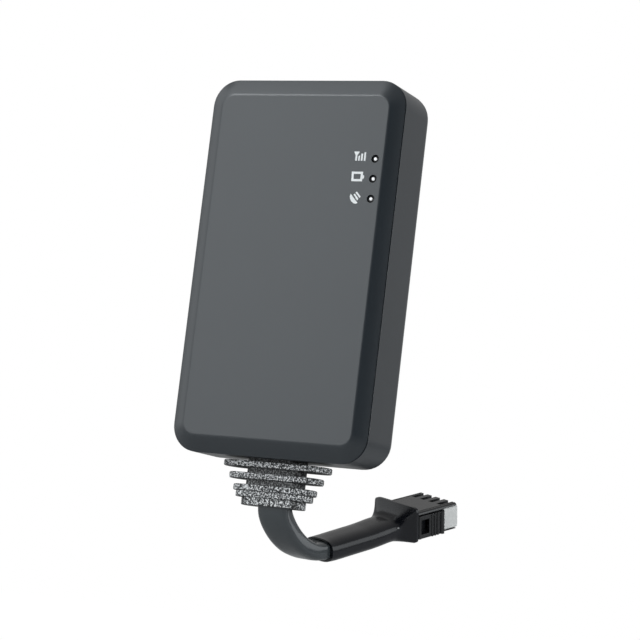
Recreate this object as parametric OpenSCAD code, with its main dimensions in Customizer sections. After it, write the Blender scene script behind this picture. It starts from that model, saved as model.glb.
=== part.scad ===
// Wired vehicle position tracker: a screwed two-part case with its electronics, a
// moulded strain relief and a short flat lead that ends in a four-way plug.
// X runs across the case, Z up along it, and the front looks along -Y.
// The origin is the middle of the flat rear face.

/* [Case] */
// Width of the case
case_w = 45; // [43.5:0.5:52]
// Height of the case
case_h = 80; // [79:0.5:92]
// Depth of the case from front to rear
case_d = 16.2; // [15.8:0.2:20]
// Radius of the four corners seen from the front
corner_r = 5.7; // [5.2:0.1:7]
// Thickness of the side walls
side_wall = 1.8; // [1.6:0.1:2]
// Thickness of the front wall
front_wall = 1.5; // [1.3:0.1:1.6]
// Thickness of the rear wall
rear_wall = 1.6; // [1.4:0.1:1.8]
// Depth of the front cover in front of the seam
cap_d = 1.7; // [1.6:0.1:2]
// Width of the bevel along the two long sides of the front
bevel_side = 2.9; // [2:0.1:3.4]
// Width of the bevel along the two short ends of the front
bevel_end = 3.5; // [2:0.1:4.5]
// Corner radius of the flat front face
face_r = 2.7; // [1.5:0.1:4]
// Radius of the rounding around the rear face
rear_round = 3.3; // [2:0.1:3.5]
// Width and depth of the shadow gap at the seam
seam = 0.4; // [0.2:0.05:0.5]

/* [Cover screws] */
// Thread diameter of the cover screws
screw_d = 2; // [1.6:0.1:2.3]
// Head diameter of the cover screws
screw_head_d = 3.6; // [3.2:0.1:3.8]
// Height of the cover screws' heads
screw_head_t = 1.4; // [1:0.1:1.8]

/* [Status windows] */
// Diameter of the status windows
window_d = 1.7; // [1.2:0.1:1.9]
// Distance between the status windows
window_pitch = 4.2; // [3.6:0.1:4.6]
// Distance of the windows from the right edge of the flat face
window_side = 1.9; // [1.8:0.1:2.4]
// Distance of the upper window from the top of the case
window_top = 16.9; // [15:0.1:18]

/* [Electronics] */
// Thickness of the circuit board
board_t = 1; // [0.8:0.1:1.2]
// Side of the square satellite antenna
patch_w = 15; // [12:0.5:18]
// Thickness of the satellite antenna
patch_t = 4; // [3:0.1:4.2]

/* [Strain relief] */
// Width of the strain relief where it passes the case wall
neck_w = 13; // [11:0.5:14]
// Depth of the strain relief where it passes the case wall
neck_d = 6.6; // [6:0.1:6.8]
// Thickness of one flange of the strain relief
flange_t = 1.3; // [1:0.05:1.5]
// Free space between two flanges of the strain relief
flange_gap = 1.15; // [0.9:0.05:1.5]
// Width of the strain relief's stem between its flanges
stem_w = 13.1; // [11:0.1:14]
// Depth of the strain relief's stem between its flanges
stem_d = 5.4; // [5:0.1:7]

/* [Lead] */
// Width of the flat lead
lead_w = 7.2; // [6.4:0.1:7.6]
// Thickness of the flat lead
lead_t = 3.9; // [3.3:0.1:4]
// Wall of the sleeve over the lead
sleeve_wall = 0.35; // [0.25:0.05:0.4]

/* [Plug] */
// Width of the plug's housing
plug_w = 11.6; // [11.4:0.1:13]
// Height of the plug's housing
plug_h = 5.95; // [5.8:0.05:6.4]
// Length of the plug in front of the sleeve
plug_len = 12.7; // [12.2:0.1:14]

/* [Hidden] */

// Colours
case_colour = [0.33, 0.35, 0.37];
rubber_colour = [0.12, 0.12, 0.13];
black_colour = [0.08, 0.08, 0.09];
board_colour = [0.05, 0.3, 0.16];
metal_colour = [0.75, 0.76, 0.78];
gold_colour = [0.8, 0.64, 0.3];
ceramic_colour = [0.78, 0.72, 0.6];
grey_colour = [0.72, 0.73, 0.73];
clear_colour = [0.9, 0.92, 0.94];
red_colour = [0.6, 0.08, 0.06];

// Clearances, the overrun of every cut, and how finely circles are drawn
cut = 1;
fit_gap = 0.1;
slim_gap = 0.05;
layer = 0.02;
corners = [[1, 1], [-1, 1], [-1, -1], [1, -1]];
smooth = 48;
hull_smooth = 32;

// Case
face_y = -case_d;
seam_y = face_y + cap_d;
front_in_y = face_y + front_wall;
inner_w = case_w - 2 * side_wall;
inner_h = case_h - 2 * side_wall;
inner_r = corner_r - side_wall;
edge_land = 0.2;
bevel_d = cap_d - edge_land;
bevel_start_share = 0.72;
bevel_steps = 5;
arc_steps = 6;
corner_steps = 10;

// Tongue of the front cover, and the seal in its groove
tongue_len = 1.9;
tongue_t = 1.6;
tongue_y = seam_y + tongue_len;
seal_t = 0.8;
seal_in = 0.7;
seal_y = seam_y + (tongue_len - seal_t) / 2;

// Circuit board, which stands as far behind the front wall as the satellite antenna needs
electrode_t = 0.1;
face_gap = 0.2;
board_y = front_in_y + face_gap + 3 * electrode_t + patch_t;
board_rear_y = board_y + board_t;
board_gap = 0.4;
board_low_gap = 4.8;
board_w = inner_w - 2 * board_gap;
board_top = inner_h / 2 - board_gap;
board_bottom = -inner_h / 2 + board_low_gap;

// Cover screws, the posts that they pass and the bosses that they bite into
screw_inset = 5.3;
screw_x = case_w / 2 - screw_inset;
screw_z = case_h / 2 - screw_inset;
screw_gap = 0.15;
screw_bite = 2.4;
pilot_spare = 1.4;
head_sink = 1;
post_wall = 1.3;
boss_wall = 1.4;
sink_d = screw_head_t + head_sink;
post_r = screw_head_d / 2 + post_wall;
boss_r = screw_d / 2 + boss_wall;
post_y = board_y + board_t / 2;
boss_y = post_y - fit_gap;
notch_r = post_r + board_gap;
recess_w = 0.45;
recess_len_share = 0.6;
recess_d = 0.8;

// Standoffs behind the board, and the board's own screws
standoff_from_side = 5.3;
standoff_from_top = 11;
standoff_from_bottom = 14;
standoff_x = case_w / 2 - standoff_from_side;
standoff_high = case_h / 2 - standoff_from_top;
standoff_low = -case_h / 2 + standoff_from_bottom;
standoffs = [[1, standoff_high], [-1, standoff_high], [-1, standoff_low], [1, standoff_low]];
standoff_r = 2.2;
small_screw_r = 0.95;
small_head_r = 1.75;
small_head_t = 1.2;
small_bite = 4.5;
small_spare = 0.8;
board_hole_r = small_screw_r + screw_gap;

// Status windows and their light pipes
window_x = case_w / 2 - bevel_side - window_side;
window_z = case_h / 2 - window_top;
pipe_r = window_d / 2 - fit_gap;
pipe_sink = 0.3;
flange_r = 1.2;
pipe_flange_t = 0.8;
led_w = 1.6;
led_h = 0.8;
led_t = 0.6;
led_gap = 0.3;

// Strip antenna along the top of the board, between the two upper screw bosses
strip_from_boss = 0.8;
strip_from_top = 1.8;
strip_w = 2 * (screw_x - boss_r - strip_from_boss);
strip_h = 5;
strip_t = 0.2;
strip_stand = 3.1;
strip_top = board_top - strip_from_top;
strip_low = strip_top - strip_h;
strip_slot = 1;
strip_slot_share = 0.7;
strip_leg_shares = [-0.42, 0, 0.42];

// Sizes of the parts on the front of the board
electrode_share = 2 / 3;
feed_r = 0.6;
receiver_size = [7, 7, 2.1];
module_size = [18, 16, 0.8];
module_share = 0.63;
shield_in = 0.6;
shield_t = 1.6;
card_size = [12.3, 8.8, 0.67];
card_gap = 0.12;
holder_wall = 0.9;
holder_window_share = 0.6;
holder_base = 0.3;
holder_w = card_size.x + 2 * holder_wall;
holder_h = card_size.y + holder_wall;
inductor_size = [5, 5, 2.5];
inductor_cap_r = 2;
inductor_cap_t = 0.2;
chip_size = [5, 4, 1.5];
capacitor_size = [3.5, 2.8, 1.9];
capacitor_gap = 0.6;
sensor_size = [3, 3, 0.9];

// Rows down the board with equal gaps: strip, patch, cellular module and card holder
row_gap = (strip_low - board_bottom - patch_w - module_size.y - holder_h) / 4;
patch_z = strip_low - row_gap - patch_w / 2;
module_z = patch_z - patch_w / 2 - row_gap - module_size.y / 2;
holder_z = module_z - module_size.y / 2 - row_gap - holder_h / 2;

// Where they stand across the board, between the heads of its screws
head_edge = standoff_x - small_head_r;
patch_from_head = 0.95;
holder_from_head = 0.55;
patch_x = -head_edge + patch_from_head + patch_w / 2;
receiver_x = (patch_x + patch_w / 2 + window_x - flange_r) / 2;
receiver_at = [receiver_x, patch_z];
module_x = -board_w / 2 + (board_w - module_size.x) * module_share + module_size.x / 2;
module_at = [module_x, module_z];
sensor_at = [(module_x - module_size.x / 2 - board_w / 2) / 2, module_z];
holder_x = -head_edge + holder_from_head + holder_w / 2;
holder_at = [holder_x, holder_z];

// Power parts: one above the other beside the card holder, with equal gaps
power_x = (holder_x + holder_w / 2 + head_edge) / 2;
power_top = module_z - module_size.y / 2;
power_sum = inductor_size.y + chip_size.y + capacitor_size.y;
power_gap = (power_top - board_bottom - power_sum) / 4;
inductor_at = [power_x, power_top - power_gap - inductor_size.y / 2];
chip_at = [power_x, inductor_at.y - inductor_size.y / 2 - power_gap - chip_size.y / 2];
capacitor_z = chip_at.y - chip_size.y / 2 - power_gap - capacitor_size.y / 2;
capacitor_side = (capacitor_size.x + capacitor_gap) / 2;
capacitors = [for (side = [-1, 1]) [power_x + side * capacitor_side, capacitor_z]];

// Strain relief: its flanges outside the case, and the one that holds it inside
relief_behind = 2.5;
relief_y = seam_y + relief_behind + neck_d / 2;
relief_top = -inner_h / 2;
relief_in_t = 1.3;
relief_in_extra = [3, 1.2];
relief_in_w = neck_w + relief_in_extra.x;
relief_in_d = neck_d + relief_in_extra.y;
relief_in_r = 1.4;
relief_edge = 0.2;
relief_round_share = 0.46;
flange_first_gap = 0.65;
flange_shares = [[1.85, 1.41], [1.62, 1.26], [1.43, 1.17]];
step_shares = [1.32, 1.12];
block_shares = [1.09, 1.08];
step_t = 1.3;
block_t = 1.65;
flange_top = -case_h / 2 - flange_first_gap;
stack_z = flange_top - 3 * flange_t - 2 * flange_gap;
relief_end = stack_z - step_t - block_t;

// Header on the board, the lead's inner plug and its wires to the strain relief
header_size = [11, 5.5, 4.4];
header_wall = 0.9;
header_floor = 2;
inner_pitch = 2;
inner_gap = 0.1;
inner_out = 2.8;
wire_room = 5.55;
wire_d = 1.2;
wire_pitch = 1.4;
wire_straight_share = 0.2;
ways = 4;
header_low = relief_top + relief_in_t + wire_room + inner_out;
header_z = header_low + header_size.y / 2;
header_mid = board_rear_y + header_size.z / 2;

// Battery: it fills the room above the header and below its own socket
battery_from_side = 8.2;
battery_from_board = 2.1;
battery_from_header = 7.05;
cell_wire_room = 3.5;
socket_size = [6, 4.5, 3.4];
socket_from_top = 4.2;
socket_from_post = 3.1;
socket_x = screw_x - post_r - socket_from_post - socket_size.x / 2;
socket_z = inner_h / 2 - socket_from_top - socket_size.y / 2;
cell_plug_size = [5.2, 2, 2.2];
cell_plug_top = socket_z - socket_size.y / 2;
cell_plug_mid = board_rear_y + socket_size.z / 2;
cell_wire_d = 1;
cell_wire_side = 0.8;
cell_wire_shares = [0.1, 0.25];
pad_t = 0.5;
pad_in = 1.5;
battery_w = inner_w - 2 * battery_from_side;
battery_low = header_low + header_size.y + battery_from_header;
battery_high = cell_plug_top - cell_plug_size.y - cell_wire_room;
battery_h = battery_high - battery_low;
battery_z = (battery_high + battery_low) / 2;
battery_r = 1.5;
battery_t = -rear_wall - pad_t - battery_from_board - board_rear_y;
cell_y = -rear_wall - pad_t - battery_t;
rib_t = 1.2;
rib_tall = 3;
rib_gap = 0.3;
rib_share = 0.3;
rib_len_share = 0.2;
rib_end_share = 0.3;

// Route of the lead, from the middle of the strain relief's end
lead_exit = [0, relief_y, relief_end];
lead_run = [
    [0.5, 0, 0], [0.6, 0.4, -1.3], [1, 1.3, -2.9], [1.6, 2.6, -4.5], [2.3, 4.2, -5.9],
    [3.1, 6.1, -7], [3.9, 8.2, -7.6], [4.6, 9.9, -7.7], [5.7, 12.4, -7.2],
    [6.6, 14.5, -6.5], [7.5, 16.6, -5.7], [8.4, 18.7, -4.9], [9.3, 20.8, -4.1],
    [10.2, 22.9, -3.3], [11.1, 25, -2.4], [11.9, 27.1, -1.5], [12.8, 29.2, -0.7],
    [13.8, 31.5, 0.1]
];
route = [for (p = lead_run) lead_exit + p];
route_end = route[len(route) - 1];
lead_sides = 12;
lead_power = 4;

// Sleeve: it starts at this point of the route and flares to a hood over the plug
sleeve_first = 8;
sleeve_last = 15;
sleeve_slack = [0.55, 0.15];
sleeve_w = lead_w + 2 * (sleeve_slack.x + sleeve_wall);
sleeve_t = lead_t + 2 * (sleeve_slack.y + sleeve_wall);
sleeve_power = 2.8;
hood_power = 10;
hood_extra = [1.6, 2.05];
hood_w = plug_w + hood_extra.x;
hood_h = plug_h + hood_extra.y;
hood_rise = 0.2;
hood_skirt = 0.6;
flare_len = 3.8;
flare_power = 2.4;
flare_steps = 5;

// Plug: its turn, and where its hood's rim lies from the end of the route
plug_turn = [18, 9.4, -20];
collar_back = 0.5;
hood_shift = [0.6, collar_back, 1.3];
plug_at = route_end + as_plug(hood_shift);
plug_drop = 0.175;
plug_edge = 0.6;
plug_top = plug_h / 2 - plug_drop;
plug_low = -plug_h / 2 - plug_drop;
insert_len = 4.1;
insert_y = plug_len - insert_len;
lip = 0.4;
insert_gap = 0.08;
top_t = 0.55;
bottom_t = 0.25;
slot_w = 1.25;
line_in = 0.9;
line_w = 0.25;
line_d = 0.15;
contact_w = 1.3;
contact_gap = 0.1;
contact_y = 2;
contact_sink = 1;
contact_z = -0.5;
contact_bore = 0.9;
contact_bore_d = 3;
cavity = contact_w + 2 * contact_gap;

// Plug latches, their pockets, and the contacts that stand between the two pockets
latch_t = 0.6;
latch_short = 0.9;
latch_lift = 0.05;
latch_proud = 0.05;
latch_h = plug_h - latch_short;
latch_low = plug_low + latch_lift;
latch_gap = 0.2;
latch_x = plug_w / 2 + latch_proud;
latch_y = 0.95;
bead_r = 0.45;
bead_gap = 0.08;
arm_h = 0.9;
grip_y = 3.7;
grip_end = 8.05;
pocket_d = 1;
pocket_wall = 0.2;
contact_pitch = (plug_w - 2 * (pocket_d + pocket_wall) - cavity) / (ways - 1);
ridge_r = 0.28;
ridges = 3;
ridge_pitch = 0.83;
bar_r = 0.5;

// Turns and frames for what follows a route
function rot_x(v, a) = [v.x, v.y * cos(a) - v.z * sin(a), v.y * sin(a) + v.z * cos(a)];
function rot_y(v, a) = [v.x * cos(a) + v.z * sin(a), v.y, v.z * cos(a) - v.x * sin(a)];
function rot_z(v, a) = [v.x * cos(a) - v.y * sin(a), v.x * sin(a) + v.y * cos(a), v.z];
function as_plug(v) = rot_z(rot_y(rot_x(v, plug_turn.x), plug_turn.y), plug_turn.z);
function unit(v) = v / norm(v);
function square_to(v, t) = unit(v - t * (v * t));
function ease(u) = u * u * (3 - 2 * u);
function power(c, p) = sign(c) * pow(abs(c), 2 / p);

// Direction of travel at each point of a line whose two end directions are given
function travel(line, first, last) = [
    for (i = [0 : len(line) - 1])
        i == 0 ? first : i == len(line) - 1 ? last : unit(line[i + 1] - line[i - 1])
];

// One ring of a flattened round section, square to t, with its width along w
function ring(at, t, w, wide, thick, p, sides) = [
    for (k = [0 : sides - 1])
        let (a = 360 * k / sides, n = cross(w, t))
        at + w * (wide / 2 * power(cos(a), p)) + n * (thick / 2 * power(sin(a), p))
];

// Faces between two rings, and the faces of a whole tube
function band(a, b, sides) = [
    for (k = [0 : sides - 1], side = [0, 1])
        let (k2 = (k + 1) % sides)
        side == 0
            ? [a * sides + k, a * sides + k2, b * sides + k2]
            : [a * sides + k, b * sides + k2, b * sides + k]
];
function tube_bands(rings, sides) = [
    for (i = [0 : rings - 2]) each band(i, i + 1, sides)
];
function tube_ends(rings, sides) = [
    [for (k = [sides - 1 : -1 : 0]) k],
    [for (k = [0 : sides - 1]) (rings - 1) * sides + k]
];
function joined(lists) = [for (l = lists) each l];

// Points of the case's rounded outline at one depth, drawn in from its outer edges
function case_ring(y, side_in, end_in, r) = [
    for (c = [0 : 3], k = [0 : corner_steps])
        let (
            a = 90 * (c + k / corner_steps),
            x = corners[c].x * (case_w / 2 - side_in - r),
            z = corners[c].y * (case_h / 2 - end_in - r)
        )
        [x + r * cos(a), y, z + r * sin(a)]
];

// A closed form through outlines given from front to rear
module case_loft(levels) {
    sides = 4 * (corner_steps + 1);
    rings = [for (l = levels) case_ring(l[0], l[1], l[2], l[3])];
    polyhedron(joined(rings),
        concat(tube_bands(len(rings), sides), tube_ends(len(rings), sides)));
}

// A plate whose outline lies in X and Z, from its front back to its rear
module plate(y_front, y_rear) {
    translate([0, y_rear, 0])
    rotate([90, 0, 0])
    linear_extrude(y_rear - y_front)
    children();
}

// A round bar along Y, from its front end back to its rear end
module bar(x, z, r, y_front, y_rear) {
    translate([x, y_rear, z])
    rotate([90, 0, 0])
    cylinder(r = r, h = y_rear - y_front, $fn = smooth);
}

// A block on the front of the board: its middle, its width, height and thickness
module chip(at, size, stand = 0) {
    plate(board_y - stand - size.z, board_y - stand)
    translate(at)
    square([size.x, size.y], center = true);
}

module round_rect(w, h, r, sides = smooth) {
    square([w - 2 * r, h], center = true);
    square([w, h - 2 * r], center = true);
    for (c = corners)
        translate([c.x * (w / 2 - r), c.y * (h / 2 - r)])
        circle(r = r, $fn = sides);
}

// A closed ring of one wall thickness inside a rounded outline
module ring_outline(w, h, r, wall) {
    difference() {
        round_rect(w, h, r);
        round_rect(w - 2 * wall, h - 2 * wall, r - wall);
    }
}

// Outer form of the front cover: a flat face inside a slightly crowned bevel
module front_form() {
    levels = [
        for (i = [0 : bevel_steps])
            let (u = i / bevel_steps, drop = u * (bevel_start_share + (1 - bevel_start_share) * u))
            [face_y + bevel_d * drop, bevel_side * (1 - u), bevel_end * (1 - u),
                face_r + (corner_r - face_r) * u],
        [seam_y, 0, 0, corner_r]
    ];
    case_loft(levels);
}

// Outer form of the rear cover: straight walls, then a rounded edge
module rear_form() {
    levels = [
        [seam_y + seam, 0, 0, corner_r],
        for (i = [0 : arc_steps])
            let (a = 90 * i / arc_steps, drawn = rear_round * (1 - cos(a)))
            [-rear_round * (1 - sin(a)), drawn, drawn, corner_r - drawn]
    ];
    case_loft(levels);
}

module front_cover() {
    color(case_colour)
    difference() {
        union() {
            front_form();
            plate(front_in_y, tongue_y)
            ring_outline(inner_w - 2 * fit_gap, inner_h - 2 * fit_gap, inner_r - fit_gap, tongue_t);
            for (c = corners)
                bar(c.x * screw_x, c.y * screw_z, boss_r, front_in_y, boss_y);
            // Tab that closes the case wall in front of the strain relief
            plate(seam_y - edge_land, relief_y - neck_d / 2 - fit_gap)
            translate([0, -case_h / 2 + side_wall / 2])
            square([neck_w - 2 * fit_gap, side_wall], center = true);
        }
        difference() {
            plate(front_in_y, seam_y + cut)
            round_rect(inner_w - 2 * fit_gap - 2 * tongue_t, inner_h - 2 * fit_gap - 2 * tongue_t,
                inner_r - fit_gap - tongue_t);
            for (c = corners)
                bar(c.x * screw_x, c.y * screw_z, boss_r, front_in_y - cut, boss_y);
        }
        plate(seal_y - slim_gap, seal_y + seal_t + slim_gap)
        difference() {
            round_rect(inner_w, inner_h, inner_r);
            round_rect(inner_w - 2 * seal_in, inner_h - 2 * seal_in, inner_r - seal_in);
        }
        for (c = corners)
            bar(c.x * screw_x, c.y * screw_z, screw_d / 2 + slim_gap,
                boss_y - screw_bite - pilot_spare, boss_y + cut);
        for (i = [0 : 2])
            bar(window_x, window_z - i * window_pitch, window_d / 2, face_y - cut, front_in_y + cut);
    }
}

module rear_cover() {
    rib_x = battery_w / 2 + rib_gap;
    rib_z = battery_h / 2 + rib_gap;
    color(case_colour)
    difference() {
        union() {
            difference() {
                union() {
                    rear_form();
                    plate(seam_y, seam_y + seam + layer)
                    round_rect(case_w - 2 * seam, case_h - 2 * seam, corner_r - seam);
                }
                plate(seam_y - cut, -rear_wall)
                round_rect(inner_w, inner_h, inner_r);
            }
            for (c = corners)
                bar(c.x * screw_x, c.y * screw_z, post_r, post_y, -rear_wall / 2);
            for (s = standoffs)
                bar(s.x * standoff_x, s.y, standoff_r, board_rear_y, -rear_wall / 2);
            // Low ribs around the battery
            for (side = [-1, 1], end = [-1, 1])
                plate(-rear_wall - rib_tall, -rear_wall / 2)
                translate([side * (rib_x + rib_t / 2), battery_z + end * battery_h * rib_share])
                square([rib_t, battery_h * rib_len_share], center = true);
            for (end = [-1, 1])
                plate(-rear_wall - rib_tall, -rear_wall / 2)
                translate([0, battery_z + end * (rib_z + rib_t / 2)])
                square([battery_w * rib_end_share, rib_t], center = true);
        }
        for (c = corners) {
            bar(c.x * screw_x, c.y * screw_z, screw_d / 2 + screw_gap, post_y - cut, cut);
            bar(c.x * screw_x, c.y * screw_z, screw_head_d / 2 + screw_gap, -sink_d, cut);
        }
        for (s = standoffs)
            bar(s.x * standoff_x, s.y, small_screw_r + slim_gap, board_rear_y - cut,
                board_y + small_bite + small_spare + board_t);
        // Slot that the strain relief slides into
        plate(seam_y - cut, relief_y + neck_d / 2)
        translate([0, -case_h / 2 + (side_wall - cut) / 2])
        square([neck_w, side_wall + cut], center = true);
    }
}

module case_seal() {
    color(rubber_colour)
    plate(seal_y, seal_y + seal_t)
    ring_outline(inner_w, inner_h, inner_r, seal_in);
}

module case_screws() {
    color(metal_colour)
    for (c = corners)
        difference() {
            union() {
                bar(c.x * screw_x, c.y * screw_z, screw_head_d / 2, -sink_d, screw_head_t - sink_d);
                bar(c.x * screw_x, c.y * screw_z, screw_d / 2, boss_y - screw_bite, -sink_d);
            }
            plate(screw_head_t - sink_d - recess_d, cut)
            translate([c.x * screw_x, c.y * screw_z]) {
                square([recess_w, screw_head_d * recess_len_share], center = true);
                square([screw_head_d * recess_len_share, recess_w], center = true);
            }
        }
}

module main_board() {
    color(board_colour)
    difference() {
        plate(board_y, board_rear_y)
        difference() {
            translate([-board_w / 2, board_bottom])
            square([board_w, board_top - board_bottom]);
            for (c = corners)
                translate([c.x * screw_x, c.y * screw_z])
                mirror([c.x < 0 ? 1 : 0, 0])
                mirror([0, c.y < 0 ? 1 : 0]) {
                    circle(r = notch_r, $fn = smooth);
                    translate([0, -notch_r])
                    square([notch_r + cut, 2 * notch_r + cut]);
                    translate([-notch_r, 0])
                    square([2 * notch_r + cut, notch_r + cut]);
                }
        }
        for (s = standoffs)
            bar(s.x * standoff_x, s.y, board_hole_r, board_y - cut, board_rear_y + cut);
    }
}

module board_screws() {
    color(metal_colour)
    for (s = standoffs)
        difference() {
            union() {
                bar(s.x * standoff_x, s.y, small_head_r, board_y - small_head_t, board_y);
                bar(s.x * standoff_x, s.y, small_screw_r, board_y, board_y + board_t + small_bite);
            }
            plate(board_y - small_head_t - cut, board_y - small_head_t / 2)
            translate([s.x * standoff_x, s.y]) {
                square([recess_w, small_head_r], center = true);
                square([small_head_r, recess_w], center = true);
            }
        }
}

module cellular_module() {
    color(board_colour)
    chip(module_at, module_size);
}

module module_shield() {
    color(metal_colour)
    chip(module_at, [module_size.x - 2 * shield_in, module_size.y - 2 * shield_in, shield_t],
        module_size.z);
}

// Bent strip antenna on three legs, with a slot that parts its two arms
module cellular_antenna() {
    color(gold_colour) {
        plate(board_y - strip_stand - strip_t, board_y - strip_stand)
        difference() {
            translate([-strip_w / 2, strip_low])
            square([strip_w, strip_h]);
            translate([0, strip_low + strip_h / 2])
            square([strip_w * strip_slot_share, strip_slot], center = true);
        }
        for (share = strip_leg_shares)
            plate(board_y - strip_stand, board_y)
            translate([share * strip_w, strip_low + strip_t / 2])
            square([strip_slot, strip_t], center = true);
    }
}

module patch_antenna() {
    color(ceramic_colour)
    chip([patch_x, patch_z], [patch_w, patch_w, patch_t]);
}

module patch_electrode() {
    color(metal_colour) {
        chip([patch_x, patch_z], [patch_w * electrode_share, patch_w * electrode_share, electrode_t],
            patch_t);
        bar(patch_x + feed_r, patch_z - feed_r, feed_r, board_y - patch_t - 3 * electrode_t,
            board_y - patch_t - electrode_t);
    }
}

module satellite_receiver() {
    color(metal_colour)
    chip(receiver_at, receiver_size);
}

module status_leds() {
    color(clear_colour)
    for (i = [0 : 2])
        chip([window_x, window_z - i * window_pitch], [led_w, led_h, led_t]);
}

module light_pipe(i) {
    z = window_z - i * window_pitch;
    color(clear_colour) {
        bar(window_x, z, pipe_r, face_y + pipe_sink, board_y - led_t - led_gap);
        bar(window_x, z, flange_r, front_in_y, front_in_y + pipe_flange_t);
    }
}

module sim_holder() {
    size = [holder_w, holder_h, card_size.z + 2 * card_gap + 2 * holder_base];
    color(metal_colour)
    difference() {
        chip(holder_at, size);
        chip(holder_at - [0, holder_wall], [card_size.x + 2 * card_gap, size.y,
            card_size.z + 2 * card_gap], holder_base);
        chip(holder_at, [size.x * holder_window_share, size.y * holder_window_share, size.z],
            holder_base);
    }
}

module sim_card() {
    color(case_colour)
    chip(holder_at - [0, holder_wall / 2 + card_gap], card_size, holder_base + card_gap);
}

module power_inductor() {
    color(black_colour) {
        chip(inductor_at, inductor_size);
        bar(inductor_at.x, inductor_at.y, inductor_cap_r, board_y - inductor_size.z - inductor_cap_t,
            board_y - inductor_size.z);
    }
}

module power_chip() {
    color(black_colour)
    chip(chip_at, chip_size);
}

module supply_capacitors() {
    color(ceramic_colour)
    for (at = capacitors)
        chip(at, capacitor_size);
}

module motion_sensor() {
    color(black_colour)
    chip(sensor_at, sensor_size);
}

module battery_cell() {
    color(metal_colour)
    plate(cell_y, cell_y + battery_t)
    translate([0, battery_z])
    round_rect(battery_w, battery_h, battery_r);
}

module battery_pad() {
    color(grey_colour)
    plate(-rear_wall - pad_t, -rear_wall)
    translate([0, battery_z])
    square([battery_w - 2 * pad_in, battery_h - 2 * pad_in], center = true);
}

module battery_socket() {
    color(clear_colour)
    plate(board_rear_y, board_rear_y + socket_size.z)
    translate([socket_x, socket_z])
    square([socket_size.x, socket_size.y], center = true);
}

module battery_plug() {
    color(clear_colour)
    plate(cell_plug_mid - cell_plug_size.z / 2, cell_plug_mid + cell_plug_size.z / 2)
    translate([socket_x, cell_plug_top - cell_plug_size.y / 2])
    square([cell_plug_size.x, cell_plug_size.y], center = true);
}

// A short round wire that leaves and enters along Z
module wire(line, d) {
    sides = 8;
    t = travel(line, [0, 0, unit_sign(line)], [0, 0, unit_sign(line)]);
    points = [
        for (i = [0 : len(line) - 1])
            each ring(line[i], t[i], square_to([1, 0, 0], t[i]), d, d, 2, sides)
    ];
    polyhedron(points, concat(tube_bands(len(line), sides), tube_ends(len(line), sides)));
}
function unit_sign(line) = sign(line[len(line) - 1].z - line[0].z);

module battery_wires() {
    start_y = cell_y + battery_t / 2;
    rise = cell_wire_shares.x * (cell_plug_mid - start_y);
    run = cell_wire_shares.y * cell_wire_room;
    color(red_colour)
    for (side = [-1, 1])
        let (x = socket_x + side * cell_wire_side)
        wire([
            [x, start_y, battery_high],
            [x, start_y + rise, battery_high + run],
            [x, cell_plug_mid - rise, battery_high + cell_wire_room - run],
            [x, cell_plug_mid, battery_high + cell_wire_room]
        ], cell_wire_d);
}

// Four-way header that the lead's inner plug pushes into from below
module board_socket() {
    color(clear_colour)
    difference() {
        plate(board_rear_y, board_rear_y + header_size.z)
        translate([0, header_z])
        square([header_size.x, header_size.y], center = true);
        plate(board_rear_y + header_wall, board_rear_y + header_size.z - header_wall)
        translate([0, header_z - header_floor / 2 - cut / 2])
        square([header_size.x - 2 * header_wall, header_size.y - header_floor + cut], center = true);
    }
}

module inner_plug() {
    plug_x = header_size.x - 2 * header_wall - 2 * inner_gap;
    plug_y = header_size.z - 2 * header_wall - 2 * inner_gap;
    color(black_colour)
    plate(header_mid - plug_y / 2, header_mid + plug_y / 2)
    translate([-plug_x / 2, header_low - inner_out])
    square([plug_x, header_size.y - header_floor + inner_out - inner_gap]);
}

module inner_wires() {
    start_z = header_low - inner_out;
    end_z = relief_top + relief_in_t;
    color(red_colour)
    for (i = [0 : ways - 1])
        let (n = i - (ways - 1) / 2)
        wire([
            [n * inner_pitch, header_mid, start_z],
            [n * inner_pitch, header_mid, start_z - wire_room * wire_straight_share],
            [n * (inner_pitch + wire_pitch) / 2, (header_mid + relief_y) / 2,
                (start_z + end_z) / 2],
            [n * wire_pitch, relief_y, end_z + wire_room * wire_straight_share],
            [n * wire_pitch, relief_y, end_z]
        ], wire_d);
}

// One level of the strain relief, with slightly eased edges and well rounded ends
module relief_level(z_top, z_bottom, shares) {
    w = stem_w * shares.x;
    d = stem_d * shares.y;
    r = d * relief_round_share;
    translate([0, relief_y, z_bottom])
    hull() {
        translate([0, 0, relief_edge])
        linear_extrude(z_top - z_bottom - 2 * relief_edge)
        round_rect(w, d, r, hull_smooth);
        linear_extrude(z_top - z_bottom)
        round_rect(w - 2 * relief_edge, d - 2 * relief_edge, r - relief_edge, hull_smooth);
    }
}

module strain_relief() {
    color(rubber_colour) {
        translate([0, relief_y, -case_h / 2])
        linear_extrude(side_wall)
        square([neck_w, neck_d], center = true);
        translate([0, relief_y, relief_top])
        linear_extrude(relief_in_t)
        round_rect(relief_in_w, relief_in_d, relief_in_r);
        translate([0, relief_y, relief_end + relief_edge])
        linear_extrude(-case_h / 2 - relief_end - relief_edge)
        round_rect(stem_w, stem_d, stem_d * relief_round_share);
        for (i = [0 : 2])
            let (top = flange_top - i * (flange_gap + flange_t))
            relief_level(top, top - flange_t, flange_shares[i]);
        relief_level(stack_z, stack_z - step_t, step_shares);
        relief_level(stack_z - step_t, relief_end, block_shares);
    }
}

// Frames of the lead: straight out of the strain relief, and straight into the plug
lead_travel = travel(route, [0, 0, -1], as_plug([0, 1, 0]));
function lead_width(i) =
    let (u = ease(i / (len(route) - 1)))
    square_to([1, 0, 0] * (1 - u) + as_plug([1, 0, 0]) * u, lead_travel[i]);

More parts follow.
